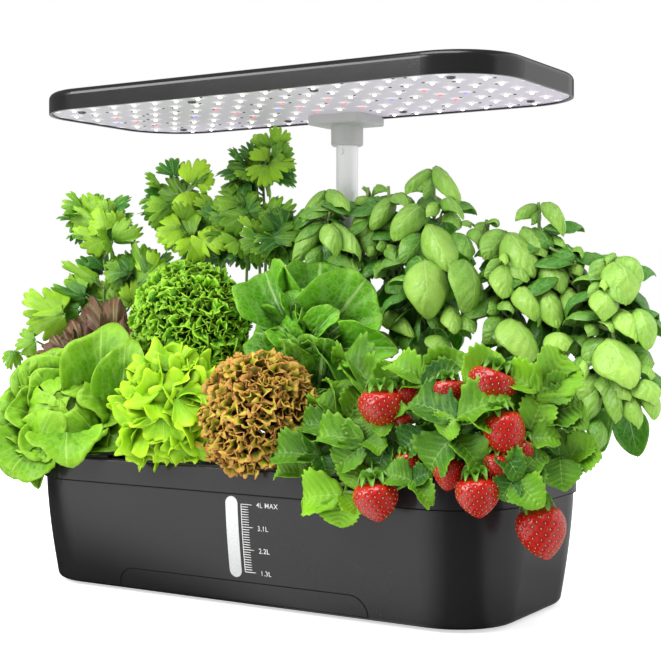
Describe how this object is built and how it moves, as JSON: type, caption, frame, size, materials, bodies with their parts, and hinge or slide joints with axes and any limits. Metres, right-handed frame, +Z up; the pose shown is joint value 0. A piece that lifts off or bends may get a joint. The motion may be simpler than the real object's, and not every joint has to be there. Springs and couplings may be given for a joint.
{
  "type": "countertop hydroponic garden",
  "caption": "Oblong water tank with a lift-off planting deck, herbs, salads and strawberries in net cups, and a flat grow lamp on a telescopic pole.",
  "frame": {"origin": "centre of the tank's footprint, on the plane of the feet", "axes": "+X along the tank's length to the right, +Y to the back where the pole stands, +Z up; the water window faces -Y"},
  "size_m": [0.548, 0.2084, 0.374],
  "materials": {
    "body_plastic": "satin moulded plastic, dark grey",
    "hood_plastic": "satin moulded plastic, dark grey",
    "window_plastic": "frosted translucent plastic",
    "foot_rubber": "moulded rubber",
    "bracket_plastic": "light grey moulded plastic",
    "collar_plastic": "dark grey moulded plastic",
    "button_plastic": "glossy dark grey keys",
    "tube_metal": "polished steel tube",
    "spring_steel": "spring steel strip",
    "board_white": "aluminium board with white solder mask",
    "diode_white": "lit warm white diodes",
    "diode_red": "lit red diodes",
    "diode_blue": "lit blue diodes",
    "screw_steel": "dark zinc-plated screws",
    "circuit_green": "green solder mask",
    "switch_plastic": "black switch and socket bodies",
    "pump_plastic": "black pump mouldings",
    "shaft_ceramic": "polished ceramic pin",
    "rotor_magnet": "ferrite magnet with plastic impeller",
    "riser_rubber": "translucent silicone tube",
    "basket_plastic": "black moulded net cup",
    "sponge_foam": "peat sponge",
    "leaf_butterhead": "smooth pale green leaves",
    "leaf_yellow_green": "frilled yellow-green leaves",
    "leaf_red_frilly": "frilled leaves, green with red-brown tips",
    "leaf_purple": "dark purple-brown lobed leaves",
    "leaf_endive": "fine curly green leaves",
    "leaf_romaine": "broad glossy green leaves with pale ribs",
    "leaf_coriander": "flat scalloped green leaves",
    "leaf_basil": "cupped green leaves with pale veins",
    "leaf_strawberry": "serrated green leaves in threes",
    "berry_red": "glossy red fruit with seeds"
  },
  "bodies": {
    "base": {"tank": "body_plastic", "level_window": "window_plastic", "front_panel": "body_plastic", "feet": "foot_rubber"},
    "deck": {"planting_deck": "body_plastic", "power_inlet": "switch_plastic", "pole_sleeve": "tube_metal", "slide_collar": "collar_plastic", "pump_body": "pump_plastic", "pump_cover": "pump_plastic", "pump_shaft": "shaft_ceramic", "riser_tube": "riser_rubber", "baskets_back": "basket_plastic", "sponges_back": "sponge_foam", "coriander_left": "leaf_coriander", "coriander_right": "leaf_coriander", "basil_left": "leaf_basil", "basil_right": "leaf_basil"},
    "lamp": {"pole_tube": "tube_metal", "lamp_bracket": "bracket_plastic", "lamp_hood": "hood_plastic", "light_board": "board_white", "diodes_white": "diode_white", "diodes_red": "diode_red", "diodes_blue": "diode_blue", "board_screws": "screw_steel", "control_board": "circuit_green", "tact_switches": "switch_plastic"},
    "lock": {"lock_pin": "tube_metal", "lock_spring": "spring_steel"},
    "power_key": {"power_button": "button_plastic"},
    "timer_key": {"timer_button": "button_plastic"},
    "hatch": {"hatch_cover": "body_plastic"},
    "rotor": {"pump_rotor": "rotor_magnet"},
    "pod_butterhead": {"basket_butterhead": "basket_plastic", "sponge_butterhead": "sponge_foam", "butterhead": "leaf_butterhead"},
    "pod_leaf_lettuce": {"basket_leaf_lettuce": "basket_plastic", "sponge_leaf_lettuce": "sponge_foam", "leaf_lettuce": "leaf_yellow_green"},
    "pod_red_frilly_lettuce": {"basket_red_frilly_lettuce": "basket_plastic", "sponge_red_frilly_lettuce": "sponge_foam", "red_frilly_lettuce": "leaf_red_frilly"},
    "pod_strawberry_left": {"basket_strawberry_left": "basket_plastic", "sponge_strawberry_left": "sponge_foam", "strawberry_left": "leaf_strawberry", "berries_left": "berry_red"},
    "pod_strawberry_right": {"basket_strawberry_right": "basket_plastic", "sponge_strawberry_right": "sponge_foam", "strawberry_right": "leaf_strawberry", "berries_right": "berry_red"},
    "pod_oakleaf": {"basket_oakleaf": "basket_plastic", "sponge_oakleaf": "sponge_foam", "oakleaf": "leaf_purple"},
    "pod_endive": {"basket_endive": "basket_plastic", "sponge_endive": "sponge_foam", "endive": "leaf_endive"},
    "pod_romaine": {"basket_romaine": "basket_plastic", "sponge_romaine": "sponge_foam", "romaine": "leaf_romaine"}
  },
  "joints": [
    {"name": "deck_lift", "type": "slide", "parent": "base", "child": "deck", "axis": [0, 0, 1], "range_m": [0, 0.1]},
    {"name": "lamp_height", "type": "slide", "parent": "deck", "child": "lamp", "axis": [0, 0, 1], "range_m": [0, 0.1]},
    {"name": "lock_press", "type": "slide", "parent": "lamp", "child": "lock", "axis": [0, 1, 0], "range_m": [0, 0.0011], "stiffness_N_per_m": 600, "springref_m": -0.0006},
    {"name": "power_press", "type": "slide", "parent": "lamp", "child": "power_key", "axis": [0, 0, -1], "range_m": [0, 0.0008], "stiffness_N_per_m": 900, "springref_m": -0.0004},
    {"name": "timer_press", "type": "slide", "parent": "lamp", "child": "timer_key", "axis": [0, 0, -1], "range_m": [0, 0.0008], "stiffness_N_per_m": 900, "springref_m": -0.0004},
    {"name": "hatch_lift", "type": "slide", "parent": "deck", "child": "hatch", "axis": [0, 0, 1], "range_m": [0, 0.014]},
    {"name": "rotor_spin", "type": "hinge", "parent": "deck", "child": "rotor", "pos_m": [0.164, 0, 0.028], "axis": [1, 0, 0], "continuous": true},
    {"name": "butterhead_lift", "type": "slide", "parent": "deck", "child": "pod_butterhead", "axis": [0, 0, 1], "range_m": [0, 0.05]},
    {"name": "leaf_lettuce_lift", "type": "slide", "parent": "deck", "child": "pod_leaf_lettuce", "axis": [0, 0, 1], "range_m": [0, 0.05]},
    {"name": "red_frilly_lettuce_lift", "type": "slide", "parent": "deck", "child": "pod_red_frilly_lettuce", "axis": [0, 0, 1], "range_m": [0, 0.05]},
    {"name": "strawberry_left_lift", "type": "slide", "parent": "deck", "child": "pod_strawberry_left", "axis": [0, 0, 1], "range_m": [0, 0.05]},
    {"name": "strawberry_right_lift", "type": "slide", "parent": "deck", "child": "pod_strawberry_right", "axis": [0, 0, 1], "range_m": [0, 0.05]},
    {"name": "oakleaf_lift", "type": "slide", "parent": "deck", "child": "pod_oakleaf", "axis": [0, 0, 1], "range_m": [0, 0.05]},
    {"name": "endive_lift", "type": "slide", "parent": "deck", "child": "pod_endive", "axis": [0, 0, 1], "range_m": [0, 0.05]},
    {"name": "romaine_lift", "type": "slide", "parent": "deck", "child": "pod_romaine", "axis": [0, 0, 1], "range_m": [0, 0.05]}
  ]
}
